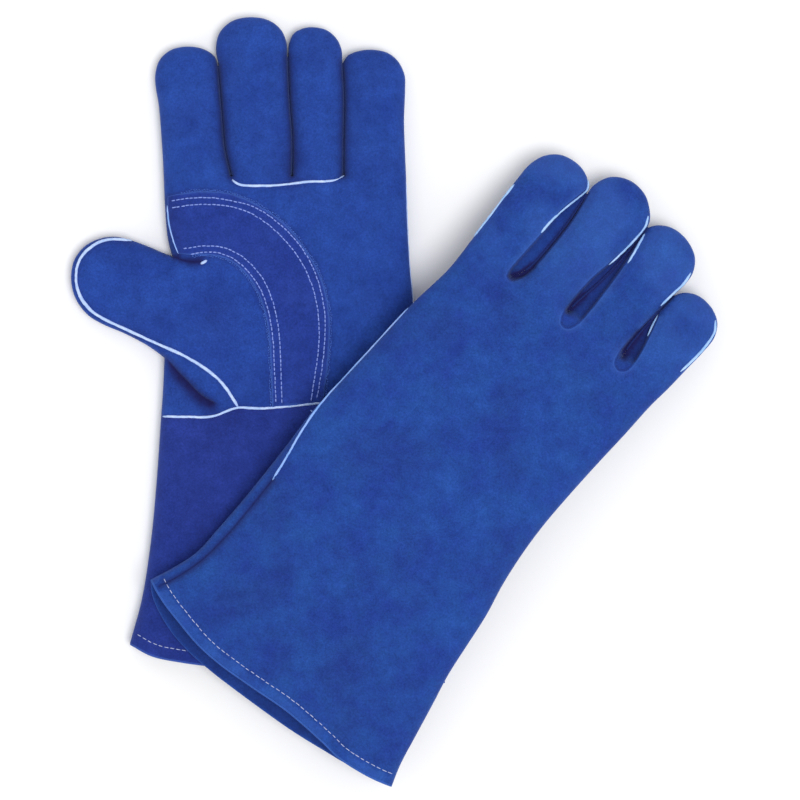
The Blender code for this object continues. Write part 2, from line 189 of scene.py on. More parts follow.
LEFT = {
    "name": "left",
    "palm": 1,
    "origin": (-59.8, -4.5),
    "turn": 0.0,
    "root": 131.0,
    "blend": (131.0, 158.0),
    "hem": curve([(-100, -127), (-88, -132.3), (-76, -138.4), (-60, -141.8), (-44, -144),
                  (0, -149), (50, -152), (100, -154)], 0.2),
    "low_hem": curve([(-100, -127), (-88, -132.3), (-60, -139.5), (0, -146.5), (50, -149.5),
                      (100, -153)], 0.2),
}
LEFT["slits"] = [
    slit([(-38.9, 193), (-36.8, 168), (-34.9, 146), (-31.5, 131)]),
    slit([(0.2, 198), (1.3, 174), (2.9, 151), (2.6, 131)]),
    slit([(31, 194.5), (32, 174), (31.6, 151), (31.5, 131)]),
]
LEFT["outline"] = np.vstack([
    curve([(-100, -174), (-88.3, -131), (-81.6, -106), (-76.5, -73), (-73.3, -39),
           (-71, -6), (-69.8, 11), (-69, 29)]),
    curve([(-69, 29), (-77.5, 35.2), (-91.5, 42.7), (-102.5, 47.3), (-112, 53),
           (-119, 62.5), (-121.4, 72.8), (-119.8, 83.5), (-113.6, 91.7), (-104.8, 96),
           (-96.5, 96.9), (-89, 95.4), (-79, 91.8), (-70, 88), (-64.6, 85.9)])[1:],
    curve([(-64.6, 85.9), (-66.2, 91.5), (-67.4, 98), (-68.6, 112), (-69.7, 137), (-70.8, 154),
           (-72.2, 171), (-73.8, 180), (-74.2, 187.6), (-71.8, 196), (-65.5, 201.7),
           (-55.8, 203.7), (-46.5, 202), (-40.8, 198), (-39.1, 193.2)])[1:],
    LEFT["slits"][0],
    curve([(-38.7, 193.2), (-40.1, 203), (-38, 211.5), (-31, 218), (-20.7, 220.2),
           (-10.5, 218.4), (-3.5, 213), (-0.4, 205.5), (0, 198.2)]),
    LEFT["slits"][1],
    curve([(0.4, 198.2), (0.8, 205), (3.6, 211), (9.2, 214), (15.4, 214.5), (22.4, 212.7),
           (27.8, 207.8), (30.5, 201.5), (30.8, 194.7)]),
    LEFT["slits"][2],
    curve([(31.2, 194.7), (34, 198.7), (41, 201.4), (49.3, 201.8), (56.5, 200), (62, 195.5),
           (65.8, 187.6), (66.1, 179), (65.5, 162.4), (66, 145.6), (66.7, 128.8), (67.2, 112),
           (67.9, 95), (69, 78.4), (70.4, 64), (71, 40), (70, 0), (72.5, -39), (76, -73),
           (81, -106), (88, -150), (94, -190)]),
])

RIGHT = {
    "name": "right",
    "palm": -1,
    "origin": (5.7, -38.1),
    "turn": 38.5,
    "root": 120.0,
    "blend": (128.5, 156.0),
    "hem": curve([(-92, -124), (-72.5, -136.5), (-60, -141.5), (-47, -144.7), (-30, -148.2),
                  (-14, -149.2), (9.4, -148.0), (33, -146.4), (59, -147.6), (71, -148.8),
                  (90, -146.8), (106, -142.8), (120, -138)], 0.2),
    "low_hem": curve([(-92, -120), (-75, -134), (-66, -143.2), (-50, -150.8), (-34, -154.5),
                      (-16, -155.6), (14, -155), (43, -153.4), (63, -151), (80, -148.6),
                      (106, -142.8), (120, -138)], 0.2),
}
RIGHT["slits"] = [
    slit([(-16.1, 184.5), (-14.4, 166), (-14.4, 150), (-15.2, 134), (-17, 127), (-20.8, 121.6)]),
    slit([(22.4, 191), (22, 180), (21.8, 165), (20.2, 150), (18.2, 139), (16.9, 131),
          (16.8, 126.5)]),
    slit([(57.4, 170), (56.6, 160), (55.9, 150), (55.4, 140), (55.3, 132), (56.2, 125.5)]),
]
RIGHT["outline"] = np.vstack([
    curve([(-92, -176), (-72.5, -136), (-67, -123.5), (-62, -108.5), (-60.7, -90), (-59.9, -70),
           (-59.7, -35), (-60.2, -3), (-59, 7), (-57, 32), (-53.6, 79), (-51.8, 91),
           (-50.2, 104), (-50.4, 125), (-51, 150), (-51.7, 167), (-51.2, 178), (-47.8, 186.5),
           (-40.6, 192.7), (-30, 194.4), (-22.6, 192.3), (-18.2, 188.4), (-16.4, 184.7)]),
    RIGHT["slits"][0],
    curve([(-15.8, 184.7), (-16, 190.5), (-12.5, 199), (-6, 204), (1, 205.8), (10, 204.4),
           (17, 199.6), (21, 194.8), (22.2, 191.2)]),
    RIGHT["slits"][1],
    curve([(22.6, 191.2), (25.5, 195), (31.5, 198.8), (38, 199.9), (45.5, 198.8),
           (53.5, 194.5), (58, 187), (58.5, 178), (57.2, 170.2)]),
    RIGHT["slits"][2],
    curve([(57.6, 170.2), (60.5, 174.5), (66, 178), (72, 179), (80, 177.5), (86.4, 173.2),
           (90, 165.8), (90, 155.5), (88.8, 143), (87.3, 127), (85.6, 114), (84.2, 92),
           (82.4, 69), (81, 46.6), (80.2, 24.4), (80.9, 3.5), (83, -16), (86.5, -35),
           (88.6, -54.7), (90.7, -74.5), (94.2, -93), (97.6, -112), (101.1, -130.7),
           (106, -147), (114, -178)]),
])

# The right glove's finger gaps: where the back ends and the fourchettes show.
GAPS = [
    curve([(-17.2, 189), (-18.2, 184), (-21.6, 168), (-22, 151), (-22.8, 136), (-23.2, 124),
           (-22, 119.8), (-18.6, 119.6), (-14.6, 126), (-13.2, 134), (-12.6, 150),
           (-12.8, 166), (-15, 184)], 0.65),
    curve([(22, 190), (21.2, 183), (18.6, 165), (15.4, 148), (14.6, 132), (15.4, 122),
           (18, 118), (22, 118), (25, 123), (26, 134), (25.8, 152), (25, 168), (23, 184)], 0.65),
    curve([(56, 158), (54.6, 148), (53.4, 136), (53.2, 126), (55, 119.4), (59, 117.8),
           (62.8, 121), (63.2, 130), (61.2, 142), (58, 156)], 0.65),
]

# The pits where a gap's two walls part, sunk deep and darkened with painted shade.
PITS = [
    curve([(-19.6, 122.3), (-16.6, 127), (-14.8, 133)]),
    curve([(16.8, 126.8), (16.9, 131), (18, 138)]),
    curve([(57, 125.8), (56, 131), (55.4, 141)]),
]

HINGE = [(-69.0, 29.0), (-64.6, 85.9)]  # the line where the left thumb starts to bend

# The thumb strap on the left palm: both its edges, and the rows of stitches on it.
STRAP_OUTER = [(-67.2, 119.6), (-56, 121.6), (-45.5, 122.4), (-34, 121.4), (-24.6, 118.6),
               (-11, 111.4), (-0.6, 103.4), (9, 91.5), (17.5, 77.5), (22.6, 61.5), (24, 47.5),
               (23, 26), (20.4, 3.4)]
STRAP_INNER = [(-61, 87.4), (-54, 86.6), (-46, 86.4), (-38.5, 85.6), (-31.5, 82.8),
               (-25, 77.5), (-19.4, 70.5), (-14.6, 60.5), (-11.2, 47), (-9.6, 33),
               (-9, 18), (-8.6, 0.8)]
INDEX_SEAM = [(-67.2, 119.6), (-67.1, 112), (-66.2, 104), (-63.8, 94.5), (-61, 87.4)]


def lie(glove, x, y):
    """How high the glove's lower side lies at this place."""
    if glove["palm"] > 0:
        return np.zeros_like(x)
    palm = OVER_THUMB - SLOPE_ACROSS * (x + 50) - SLOPE_ALONG * y
    over_hand = OVER_CUFF + (palm - OVER_CUFF) * smooth(-80, 5, y)
    return over_hand * (1 - FINGER_DROOP * smooth(106, 206, y))


def world(glove, points):
    """Points of a glove's frame, in millimetres, as points of the model, in metres."""
    x, y, h = np.asarray(points, float).T
    turn = math.radians(glove["turn"])
    ox, oy = glove["origin"]
    return MM * np.stack([
        ox + x * math.cos(turn) + y * math.sin(turn),
        oy - x * math.sin(turn) + y * math.cos(turn),
        SEAM_HEIGHT + h + lie(glove, x, y),
    ], 1)


# Making meshes.


def tree_of(places):
    """A tree for finding the nearest of these places."""
    tree = kdtree.KDTree(len(places))
    for i, (x, y) in enumerate(places):
        tree.insert((x, y, 0), i)
    tree.balance()
    return tree


def triangulated(outline, lines):
    """A fine mesh over an outline, with edges along the lines: (points, triangles, on edge)."""
    loops = [outline, *lines]
    kept = []
    edges = []
    for number, line in enumerate(loops):
        start = len(kept)
        kept += list(map(tuple, line))
        count = len(line)
        edges += [(start + i, start + i + 1) for i in range(count - 1)]
        if number == 0:
            edges.append((start + count - 1, start))
    tree = tree_of(kept)
    rings = np.vstack([shifted(outline, -off) for off in (0.5, 1.2)])
    rows = np.arange(outline[:, 1].min(), outline[:, 1].max(), SPACING * math.sqrt(0.75))
    hexes = []
    for i, y in enumerate(rows):
        x = np.arange(outline[:, 0].min(), outline[:, 0].max(), SPACING) + SPACING / 2 * (i % 2)
        hexes.append(np.stack([x, np.full_like(x, y)], 1))
    free = []
    for spots, least in ((rings, 0.38), (np.vstack(hexes), SPACING)):
        spots = spots[inside(outline, spots)]
        free += [tuple(p) for p in spots if tree.find((p[0], p[1], 0))[2] > least]
    points = [Vector(p) for p in kept + free]
    found = geometry.delaunay_2d_cdt(points, edges, [], 0, 1e-5)
    spots = np.array([tuple(v) for v in found[0]])
    triangles = np.array([f for f in found[2] if len(f) == 3])
    triangles = triangles[inside(outline, spots[triangles].mean(1))]
    return spots, triangles, distance(spots, outline, True) < 0.01


def swelled(points, triangles, fixed, reach=SWELL):
    """How far a sheet held down where fixed has risen: 0 there, and 1 far from there."""
    i, j, w = [], [], []
    corners = points[triangles]
    ab, ac = corners[:, 1] - corners[:, 0], corners[:, 2] - corners[:, 0]
    area = np.abs(ab[:, 0] * ac[:, 1] - ab[:, 1] * ac[:, 0]) / 2 + 1e-9
    for k in range(3):
        a, b, c = corners[:, k], corners[:, (k + 1) % 3], corners[:, (k + 2) % 3]
        i.append(triangles[:, (k + 1) % 3])
        j.append(triangles[:, (k + 2) % 3])
        w.append(np.maximum(np.sum((b - a) * (c - a), 1) / (4 * area), 0))
    i, j, w = (np.concatenate(v) for v in (i, j, w))
    count = len(points)
    mass = np.bincount(triangles.ravel(), np.repeat(area / 3, 3), count) + 1e-9
    degree = np.bincount(i, w, count) + np.bincount(j, w, count)
    open_ = ~fixed

    def applied(u):
        flow = w * (u[i] - u[j])
        rise = np.bincount(i, flow, count) - np.bincount(j, flow, count)
        return (reach**2 * rise + mass * u) * open_

    scale = 1 / (reach**2 * degree + mass)
    u = np.zeros(count)
    rest = mass * open_
    z = rest * scale
    step = z.copy()
    product = rest @ z
    for _ in range(400):
        moved = applied(step)
        a = product / (step @ moved)
        u += a * step
        rest -= a * moved
        z = rest * scale * open_
        new = rest @ z
        if new < 1e-12 * count:
            break
        step = z + new / product * step
        product = new
    return np.clip(u, 0, 1)


def softened(values, reach=3):
    """The values along a line with their sudden changes spread out."""
    window = np.concatenate([np.arange(1, reach + 2), np.arange(reach, 0, -1)])
    return np.convolve(np.pad(values, reach, "edge"), window / window.sum(), "valid")


def point_normals(points, triangles):
    corners = points[triangles]
    face = np.cross(corners[:, 1] - corners[:, 0], corners[:, 2] - corners[:, 0])
    total = np.zeros_like(points)
    for k in range(3):
        for axis in range(3):
            total[:, axis] += np.bincount(triangles[:, k], face[:, axis], len(points))
    size = np.linalg.norm(total, axis=1)[:, None]
    return total / np.maximum(size, 1e-12)


def add_mesh(name, points, faces, material, tone=None):
    """A smooth mesh. Its tone darkens suede below 1 with painted shade, and lightens it above 1,
    for fraying fuzz and, on the lips beside the gaps, a painted highlight.
    """
    mesh = bpy.data.meshes.new(name)
    mesh.from_pydata([tuple(p) for p in points], [], faces)
    mesh.materials.append(material)
    mesh.shade_smooth()
    tone = np.ones(len(points)) if tone is None else tone
    mesh.attributes.new("tone", "FLOAT", "POINT").data.foreach_set("value", tone)
    made = bpy.data.objects.new(name, mesh)
    bpy.context.scene.collection.objects.link(made)
    return made


def add_piece(name, points, triangles, material, normals=None, tone=None):
    """A mesh of the points that the triangles use."""
    used, index = np.unique(triangles, return_inverse=True)
    made = add_mesh(name, points[used], index.reshape(triangles.shape).tolist(), material,
                    None if tone is None else tone[used])
    if normals is not None:
        made.data.normals_split_custom_set_from_vertices(normals[used].tolist())
    return made


def swept(paths, ups, radius, sides=8):
    """Round cords along the paths: (points, faces), with both ends closed.

    The radius is one number, or one for each point of a path.
    """
    points, faces = [], []
    for path, up in zip(paths, ups):
        path, up = np.asarray(path), np.asarray(up)
        ahead = np.gradient(path, axis=0)
        ahead /= np.linalg.norm(ahead, axis=1)[:, None] + 1e-12
        across = np.cross(ahead, up)
        across /= np.linalg.norm(across, axis=1)[:, None] + 1e-12
        over = np.cross(across, ahead)
        size = radius * np.ones(len(path))
        start = len(points)
        for p, a, o, r in zip(path, across, over, size):
            for k in range(sides):
                turn = 2 * math.pi * k / sides
                points.append(p + r * (a * math.cos(turn) + o * math.sin(turn)))
        for n in range(len(path) - 1):
            for k in range(sides):
                a = start + n * sides + k
                b = start + n * sides + (k + 1) % sides
                faces.append((a, b, b + sides, a + sides))
        faces.append(tuple(start + k for k in reversed(range(sides))))
        last = start + (len(path) - 1) * sides
        faces.append(tuple(last + k for k in range(sides)))
    return points, faces


def add_cords(name, paths, ups, radius, material, tone=1.0, sides=8):
    points, faces = swept(paths, ups, radius, sides)
    return add_mesh(name, points, faces, material, np.full(len(points), tone))


# Materials.


def new_material(name, roughness):
    made = bpy.data.materials.new(name)
    made.use_nodes = True
    shader = made.node_tree.nodes["Principled BSDF"]
    shader.inputs["Roughness"].default_value = roughness
    return made, shader, made.node_tree.nodes, made.node_tree.links


def noise(nodes, links, size, detail, roughness):
    """A noise texture with features about size metres across."""
    where = nodes.new("ShaderNodeTexCoord")
    made = nodes.new("ShaderNodeTexNoise")
    made.inputs["Scale"].default_value = 1 / size
    made.inputs["Detail"].default_value = detail
    made.inputs["Roughness"].default_value = roughness
    links.new(where.outputs["Object"], made.inputs["Vector"])
    return made.outputs["Fac"]


def ramp(nodes, links, value, stops):
    made = nodes.new("ShaderNodeValToRGB")
    made.color_ramp.elements[0].position = stops[0][0]
    made.color_ramp.elements[0].color = (*stops[0][1], 1)
    made.color_ramp.elements[1].position = stops[-1][0]
    made.color_ramp.elements[1].color = (*stops[-1][1], 1)
    for place, colour in stops[1:-1]:
        made.color_ramp.elements.new(place).color = (*colour, 1)
    links.new(value, made.inputs["Fac"])
    return made.outputs["Color"]


def mixed(nodes, links, kind, amount, a, b):
    made = nodes.new("ShaderNodeMixRGB")
    made.blend_type = kind
    made.inputs["Fac"].default_value = amount
    links.new(a, made.inputs["Color1"])
    links.new(b, made.inputs["Color2"])
    return made.outputs["Color"]


def grey(value):
    return (value, value, value)


def suede(name, dark, light):
    """Split leather: cloudy colour, a fine nap and a soft velvety rim."""
    made, shader, nodes, links = new_material(name, 0.95)
    clouds = noise(nodes, links, 0.022, 5, 0.68)
    colour = ramp(nodes, links, clouds, [(0.3, dark), (0.72, light)])
    brushed = ramp(nodes, links, noise(nodes, links, 0.007, 3, 0.6),
                   [(0.3, grey(0.8)), (0.7, grey(1.0))])
    nap = ramp(nodes, links, noise(nodes, links, 0.0011, 3, 0.7),
               [(0.3, grey(0.62)), (0.72, grey(1.0))])
    colour = mixed(nodes, links, "MULTIPLY", 1, colour, brushed)
    colour = mixed(nodes, links, "MULTIPLY", 1, colour, nap)
    # The tone paints light and shade: below 1 it mixes in this dark navy as painted shade, and
    # above 1 a lighter blue, for fraying fuzz and a painted highlight on the lips beside the right
    # glove's gaps.
    tone = nodes.new("ShaderNodeAttribute")
    tone.attribute_name = "tone"
    shaded = nodes.new("ShaderNodeMixRGB")
    shaded.inputs["Color1"].default_value = (0.012, 0.012, 0.085, 1)
    links.new(tone.outputs["Fac"], shaded.inputs["Fac"])
    links.new(colour, shaded.inputs["Color2"])
    over = nodes.new("ShaderNodeMath")
    over.operation = "SUBTRACT"
    over.use_clamp = True
    over.inputs[1].default_value = 1.0
    links.new(tone.outputs["Fac"], over.inputs[0])
    frayed = nodes.new("ShaderNodeMixRGB")
    frayed.inputs["Color2"].default_value = (0.09, 0.22, 0.7, 1)
    links.new(over.outputs[0], frayed.inputs["Fac"])
    links.new(shaded.outputs["Color"], frayed.inputs["Color1"])
    colour = frayed.outputs["Color"]
    links.new(colour, shader.inputs["Base Color"])
    bump = nodes.new("ShaderNodeBump")
    bump.inputs["Strength"].default_value = 0.5
    bump.inputs["Distance"].default_value = 0.0005
    links.new(noise(nodes, links, 0.0009, 4, 0.75), bump.inputs["Height"])
    links.new(bump.outputs["Normal"], shader.inputs["Normal"])
    shader.inputs["Specular IOR Level"].default_value = 0.12
    shader.inputs["Sheen Weight"].default_value = 0.22
    shader.inputs["Sheen Roughness"].default_value = 0.45
    shader.inputs["Sheen Tint"].default_value = (0.3, 0.45, 0.95, 1)
    return made


def trim(name, dark, light, size, roughness, bumpiness):
    """Welt leather, thread or fleece: a mottled colour and a fine bump."""
    made, shader, nodes, links = new_material(name, roughness)
    colour = ramp(nodes, links, noise(nodes, links, size, 4, 0.6), [(0.3, dark), (0.7, light)])
    links.new(colour, shader.inputs["Base Color"])
    bump = nodes.new("ShaderNodeBump")
    bump.inputs["Strength"].default_value = 0.6
    bump.inputs["Distance"].default_value = bumpiness
    links.new(noise(nodes, links, size * 0.3, 3, 0.6), bump.inputs["Height"])
    links.new(bump.outputs["Normal"], shader.inputs["Normal"])
    return made


BACK = suede("suede of the backs", (0.019, 0.054, 0.34), (0.0245, 0.1, 0.43))
PALM = suede("suede of the palms", (0.019, 0.06, 0.35), (0.028, 0.09, 0.45))
CUFF = suede("suede of the palm side cuffs", (0.02, 0.041, 0.28), (0.029, 0.058, 0.36))
STRAP = suede("suede of the thumb straps", (0.018, 0.043, 0.3), (0.029, 0.068, 0.39))
THUMB = suede("suede of the thumbs", (0.018, 0.058, 0.35), (0.027, 0.087, 0.45))
FOURCHETTE = suede("suede between the fingers", (0.015, 0.052, 0.33), (0.022, 0.085, 0.42))
WELT = trim("white welt leather", (0.32, 0.48, 0.85), (0.58, 0.71, 1.0), 0.0035, 0.6, 0.0003)
BLUE_WELT = trim("pale blue welt leather", (0.17, 0.36, 0.8), (0.38, 0.54, 0.98), 0.009, 0.6,
                 0.0003)
SKY_WELT = trim("sky blue welt leather", (0.24, 0.46, 0.82), (0.46, 0.66, 0.98), 0.006, 0.6,
                0.0003)
THREAD = trim("sewing thread", (0.27, 0.32, 0.6), (0.5, 0.56, 0.78), 0.0016, 0.65, 0.0002)
BLUE_THREAD = trim("blue sewing thread", (0.14, 0.22, 0.64), (0.28, 0.38, 0.86), 0.0016, 0.65,
                   0.0002)
FRAY = trim("frayed suede", (0.025, 0.075, 0.4), (0.065, 0.17, 0.6), 0.0012, 0.9, 0.0002)
HEM = suede("suede of the turned hems", (0.015, 0.066, 0.35), (0.024, 0.096, 0.46))
FLEECE = trim("fleece lining", (0.52, 0.5, 0.46), (0.74, 0.72, 0.67), 0.0022, 0.95, 0.0008)


# The leather of a glove.

FINGERS = ("index", "middle", "ring", "little")
EDGE = 1.2  # the radius of a turned hem's fold
HEMS = {1: "hem", -1: "low_hem"}  # the hem of the upper side, and of the lower one
SIDES = {1: "up", -1: "down"}
HEM_ROW = 7.2  # how far in from the hem its stitches run
LINING_START = 13.5  # how far in from the hem the fleece begins
LINING_DEPTH = 2.6  # of the fleece under the leather's outer side


def valley(points, line, width, depth):
    """A soft fold along a line, deepest at its middle."""
    run = lengths_along(line)
    nearest = tree_of(line)
    along = np.array([run[nearest.find((x, y, 0))[1]] for x, y in points]) / run[-1]
    ends = np.sin(math.pi * np.clip(along, 0.04, 0.96)) ** 0.6
    return -depth * ends * near(line, points, width)


def groove(points, line, width, depth):
    """A narrow seam groove of even depth."""
    return -depth * near(line, points, width)


def crossings(outline, y):
    """The x of the outline's edges where they cross the line at y."""
    found = []
    for (ax, ay), (bx, by) in zip(outline, np.roll(outline, -1, 0)):
        if (ay > y) != (by > y):
            found.append(ax + (bx - ax) * (y - ay) / (by - ay))
    return sorted(found)


def split_lines(glove):
    """Lines across the digits where they start to bend: the mesh is cut along them."""
    outline = glove["outline"]
    y = glove["blend"][0] + 0.01
    found = crossings(outline, y)
    lines = []
    for left, right in zip(found[0::2], found[1::2]):
        if right - left > 0.8:
            lines.append(respaced(np.array([(left, y), (right, y)]), STEP))
    if glove["palm"] > 0:
        lines.append(respaced(np.array(HINGE), STEP))
    return lines


def finger_number(glove, spots):
    """Which finger each place belongs to, from 0 to 3."""
    number = np.zeros(len(spots), int)
    for cut in glove["slits"]:
        line = cut[: (len(cut) + 1) // 2][::-1]
        number += spots[:, 0] > np.interp(spots[:, 1], line[:, 1], line[:, 0])
    return number


def in_thumb(glove, spots):
    """Whether each place lies on the left glove's thumb, beyond its hinge line."""
    if glove["palm"] < 0:
        return np.zeros(len(spots), bool)
    a, b = np.array(HINGE)
    side = (b - a)[0] * (spots - a)[:, 1] - (b - a)[1] * (spots - a)[:, 0]
    top = HINGE[1][1] + 0.2 + 0.55 * np.maximum(0, HINGE[1][0] - spots[:, 0])
    return (side > 0) & (spots[:, 1] > 28) & (spots[:, 1] < top) & (spots[:, 0] < -60)


def dress(piece, glove, part, slot, *nodes):
    """Binds a piece of the hand to its body; a piece of a digit only has its transform baked into
    its mesh.
    """
    side = glove["name"]
    hand = f"{side}_hand"
    if part == "hand":
        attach(piece, hand)
    else:
        start, end = glove["thumb_bend"] if part == "thumb" else [
            (0, y) for y in glove["blend"]]
        flat = world(glove, [(*start, 0), (*end, 0)])
        flat[:, 2] = 0
        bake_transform(piece)
    if nodes:
        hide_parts(*[f"{side}_{node}" for node in nodes])


def below(line, spots):
    """Whether each place lies below a line that runs across the glove."""
    return spots[:, 1] < np.interp(spots[:, 0], line[:, 0], line[:, 1])


def facing(triangles, points, up):
    """The triangles turned so that their outer side is up, or down for -1."""
    a, b, c = (points[triangles[:, k], :2] for k in range(3))
    spin = (b - a)[:, 0] * (c - a)[:, 1] - (b - a)[:, 1] * (c - a)[:, 0]
    return np.where((spin * up < 0)[:, None], triangles[:, ::-1], triangles)


def joined_normals(placed, faces, on_edge):
    """Normals that run smoothly round the side seams, from the upper to the lower side."""
    count = len(on_edge)
    normals = point_normals(np.vstack([placed[1], placed[-1]]),
                            np.vstack([faces[1], faces[-1] + count]))
    rim = np.where(on_edge)[0]
    shared = normals[rim] + normals[rim + count]
    shared /= np.linalg.norm(shared, axis=1)[:, None] + 1e-12
    normals[rim] = normals[rim + count] = shared
    return {1: normals[:count], -1: normals[count:]}


class Skin:
    """A glove's leather: one mesh over its outline, with a height for each of its sides."""

    def __init__(self, glove, seams, shape_upper, shape_lower, tones):
        self.glove = glove
        hems = [shifted(glove[hem], EDGE)[::6] for hem in HEMS.values()]
        hems = [line[inside(glove["outline"], line)] for line in hems]
        drawn = [part for line in seams for part in runs_inside(glove["outline"], line)]
        found = triangulated(glove["outline"], hems + split_lines(glove) + drawn)
        self.points, self.triangles, self.on_edge = found
        full = swelled(*found)
        rise = np.sqrt(full) * (1.3 - 0.3 * full)
        belly = -BELLY * np.tanh(1.7 * rise) / math.tanh(1.7)
        upper = shape_upper(self.points, CROWN * rise, rise)
        lower = shape_lower(self.points, belly, rise)
        upper[self.on_edge] = lower[self.on_edge] = 0
        self.heights = {1: upper, -1: lower}
        self.trees = {
            up: BVHTree.FromPolygons(
                np.column_stack([self.points, h]).tolist(), self.triangles.tolist())
            for up, h in self.heights.items()}
        self.placed = {up: world(glove, np.column_stack([self.points, h]))
                       for up, h in self.heights.items()}
        self.faces = {up: facing(self.triangles, self.points, up) for up in (1, -1)}
        self.normals = joined_normals(self.placed, self.faces, self.on_edge)
        self.middles = self.points[self.triangles].mean(1)
        self.tones = {up: tones(self.points, up) for up in (1, -1)}

    def piece(self, name, up, chosen, material, depth=0.0):
        """A piece of one side of the leather, or of a layer under it."""
        if not depth:
            return add_piece(f"{self.glove['name']}_{name}", self.placed[up],
                             self.faces[up][chosen], material, self.normals[up],
                             self.tones[up])
        thin = np.minimum(depth, 0.42 * (self.heights[1] - self.heights[-1]))
        layer = np.column_stack([self.points, self.heights[up] - up * thin])
        return add_piece(f"{self.glove['name']}_{name}", world(self.glove, layer),
                         self.faces[up][chosen][:, ::-1], material)

    def spot(self, x, y, up):
        """The surface's point over a place, or its nearest one to a place off the glove."""
        hit = self.trees[up].ray_cast(Vector((x, y, 80 * up)), Vector((0, 0, -up)))
        if hit[0] is None:
            hit = self.trees[up].find_nearest(Vector((x, y, 0)))
        return tuple(hit[0])

    def laid(self, path, up=1, lift=0.0):
        """A path in the flat laid on one side: its points in the glove's frame."""
        return np.array([self.spot(x, y, up) for x, y in path]) + (0, 0, up * lift)


def leather(skin, walls):
    """Makes the leather pieces of a glove, and its lining."""
    glove = skin.glove
    spots = skin.middles
    thumb = in_thumb(glove, spots)
    beyond = (spots[:, 1] > glove["blend"][0]) & ~thumb
    number = finger_number(glove, spots)

    def panel(name, up, chosen, material, part, *nodes):
        dress(skin.piece(f"{name}_leather", up, chosen, material), glove, part, "suede", *nodes)

    for up in (1, -1):
        hem = shifted(glove[HEMS[up]], EDGE)
        kept = ~below(hem, spots)
        body = kept & ~thumb & ~beyond
        palm = up == glove["palm"]
        if palm:
            cuff = below(glove["wrist"], spots)
            base = inside(glove["thumb_base"], spots) & ~cuff
            panel("cuff", up, body & cuff, CUFF, "hand", "cuff_panel")
            panel("palm", up, body & ~cuff & ~base, PALM, "hand", "palm_panel")
            panel("thumb_base", up, body & base, THUMB, "hand")
        else:
            panel("back", up, body, BACK, "hand", "back_panel")
        face = "front" if palm else "back"
        if thumb.any():
            panel(f"thumb_{face}", up, thumb, THUMB, "thumb", f"thumb_{face}")
        for k, finger in enumerate(FINGERS):
            mine = beyond & (number == k)
            wall = mine & walls[up]
            panel(f"{finger}_{face}", up, mine & ~wall, PALM if palm else BACK, finger,
                  f"{finger}_{face}")
            if wall.any():
                dress(skin.piece(f"{finger}_fourchette_leather_{SIDES[up]}", up, wall,
                                 FOURCHETTE), glove, finger, "suede", f"{finger}_fourchette")
        inner = ~below(shifted(glove[HEMS[up]], LINING_START), spots)
        dress(skin.piece(f"lining_{SIDES[up]}", up,
                         inner & ~beyond & ~thumb, FLEECE, LINING_DEPTH), glove, "hand", "fleece",
              "lining")


def turned_hem(skin, up, material):
    """The fold at the hem and the band of leather turned inside it."""
    glove = skin.glove
    hem = glove[HEMS[up]]
    inward = shifted(hem, 1) - hem
    within = inside(glove["outline"], hem)
    line, inward = respaced(hem[within], STEP), respaced(inward[within], 1)
    steps = np.linspace(0, 1, len(line))
    inward = np.stack([np.interp(steps, np.linspace(0, 1, len(inward)), inward[:, k])
                       for k in (0, 1)], 1)
    turns = np.linspace(0, math.pi, 9)
    section = [(EDGE * (1 - math.sin(a)), EDGE * (1 - math.cos(a))) for a in turns]
    section += [(d, 2 * EDGE) for d in (2.5, 4.5, 7, 9.5, 12, 14)] + [(14.2, 1.4)]
    draw = np.random.RandomState(5)
    fat = 1 + 0.07 * np.convolve(draw.normal(0, 1, len(line) + 6), np.ones(7) / 7, "valid") * 2.6
    rows = []
    for p, n, f in zip(line, inward, fat):
        row = []
        for d, depth in section:
            top, low = (skin.spot(*(p + n * d), side) for side in (1, -1))
            thin = min(depth * f, 0.46 * (top[2] - low[2]) * depth / (2 * EDGE))
            x, y, h = top if up > 0 else low
            row.append((x, y, h - up * thin))
        rows.append(row)
    points = world(glove, np.array(rows).reshape(-1, 3))
    count = len(section)
    faces = []
    for i in range(len(rows) - 1):
        for k in range(count - 1):
            a = i * count + k
            quad = (a, a + 1, a + 1 + count, a + count)
            faces.append(quad if up > 0 else quad[::-1])
    # The fold is lighter, and the band turned inside darkens with painted shade, where the upper
    # layer shades it.
    tone = np.tile([1.22] * 5 + [1.0, 0.9, 0.8, 0.7] + [0.6] * (count - 9), len(rows))
    return add_mesh(f"{glove['name']}_turned_hem_{SIDES[up]}", points, faces,
                    material, tone)


def patch(skin, name, outline, up, thickness, sunk):
    """A piece of leather sewn on the palm, with rounded edges: (piece, its surface)."""
    points, triangles, on_edge = triangulated(outline, sunk)
    away = distance(points, outline, True)
    lift = thickness * np.sqrt(1 - (1 - np.clip(away / 1.1, 0, 1)) ** 2)
    lift *= smooth(0, 2.5, distance(points, skin.glove["outline"], True))
    for line in sunk:
        lift = lift + groove(points, line, 0.75, 0.38) * (away > 0.5)
    lift = lift + 0.12 * waves(points, 6, 21) * np.clip(away / 2, 0, 1)
    base = skin.laid(points, up)
    base[:, 2] += up * (lift - 0.05)
    at_end = 1 - smooth(2, 14, distance(points, skin.glove["outline"], True))
    piece = add_piece(f"{skin.glove['name']}_{name}", world(skin.glove, base),
                      facing(triangles, points, up), STRAP,
                      tone=1 + 0.5 * np.exp(-((away / 0.7) ** 2)) - 0.25 * at_end)
    tree = BVHTree.FromPolygons(base.tolist(), triangles.tolist())
    return piece, tree


def dashes(path, pitch, length, seed):
    """Short straight bits along a path, for stitches: each as four points."""
    run = lengths_along(path)
    draw = np.random.RandomState(seed)
    bits = []
    start = pitch / 2
    while start + length < run[-1]:
        span = length * draw.uniform(0.85, 1.1)
        at = start + span * np.array([0, 0.2, 0.8, 1])
        bits.append(np.stack([np.interp(at, run, path[:, k]) for k in (0, 1)], 1)
                    + draw.normal(0, 0.07, 2))
        start += pitch
    return bits


